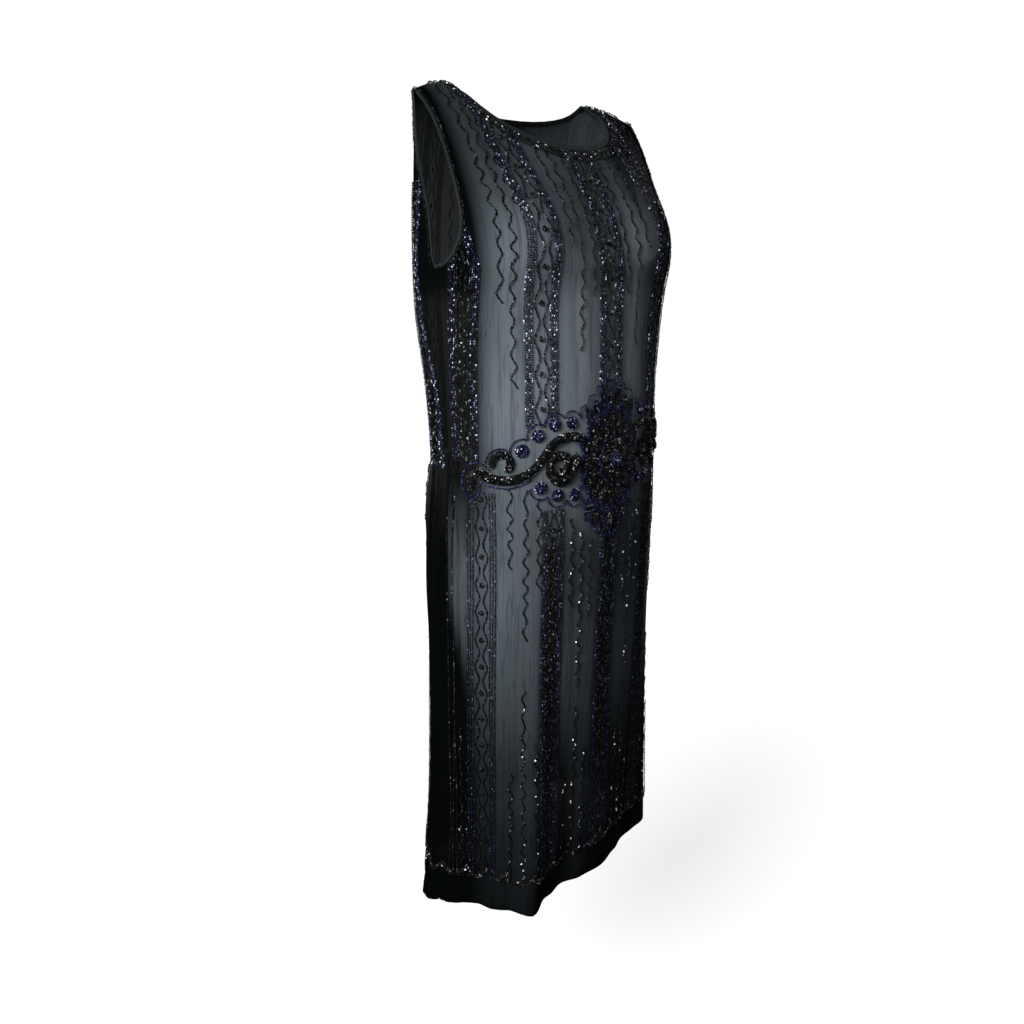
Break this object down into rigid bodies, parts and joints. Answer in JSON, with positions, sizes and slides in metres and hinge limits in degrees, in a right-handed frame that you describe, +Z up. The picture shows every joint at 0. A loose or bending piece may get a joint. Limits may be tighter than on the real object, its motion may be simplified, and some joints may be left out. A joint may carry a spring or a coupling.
{
  "type": "flapper dress",
  "caption": "Sleeveless straight-cut chiffon dress, hollow as worn, with a scooped neck, dropped waist gathered at the sides, a raised hip ornament and a turned-up hem.",
  "frame": {"origin": "midway between the two shoulder straps, level with the inside of the cloth at the neck ends of the shoulder seams, where the wearer's shoulders hold the dress", "axes": "+Z up, -Y towards the front of the dress, +X towards the wearer's left"},
  "size_m": [0.4166, 0.2518, 1.0753],
  "materials": {
    "silk_chiffon": "sheer black silk chiffon, plain weave, beaded",
    "black_beads": "close rows of black two-cut glass beads over a padded cord",
    "navy_beads": "close rounds of navy two-cut glass beads"
  },
  "bodies": {
    "root": {"bodice_front": "silk_chiffon", "bodice_back": "silk_chiffon", "skirt_front": "silk_chiffon", "skirt_back": "silk_chiffon", "neck_binding": "silk_chiffon", "armhole_binding_right": "silk_chiffon", "armhole_binding_left": "silk_chiffon", "scroll_right": "black_beads", "scroll_left": "black_beads", "spiral_right": "black_beads", "spiral_left": "black_beads", "hook_right": "black_beads", "hook_left": "black_beads", "flower_petals": "black_beads", "flower_inner": "black_beads", "leaf_top": "black_beads", "leaf_top_right": "black_beads", "leaf_top_left": "black_beads", "leaf_low": "black_beads", "leaf_low_right": "black_beads", "leaf_low_left": "black_beads", "flower_centre": "navy_beads", "roundel_right_1": "navy_beads", "roundel_right_2": "navy_beads", "roundel_right_3": "navy_beads", "roundel_right_4": "navy_beads", "roundel_right_5": "navy_beads", "roundel_right_6": "navy_beads", "roundel_right_7": "navy_beads", "roundel_left_1": "navy_beads", "roundel_left_2": "navy_beads", "roundel_left_3": "navy_beads", "roundel_left_4": "navy_beads", "roundel_left_5": "navy_beads", "roundel_left_6": "navy_beads", "roundel_left_7": "navy_beads"}
  },
  "joints": []
}
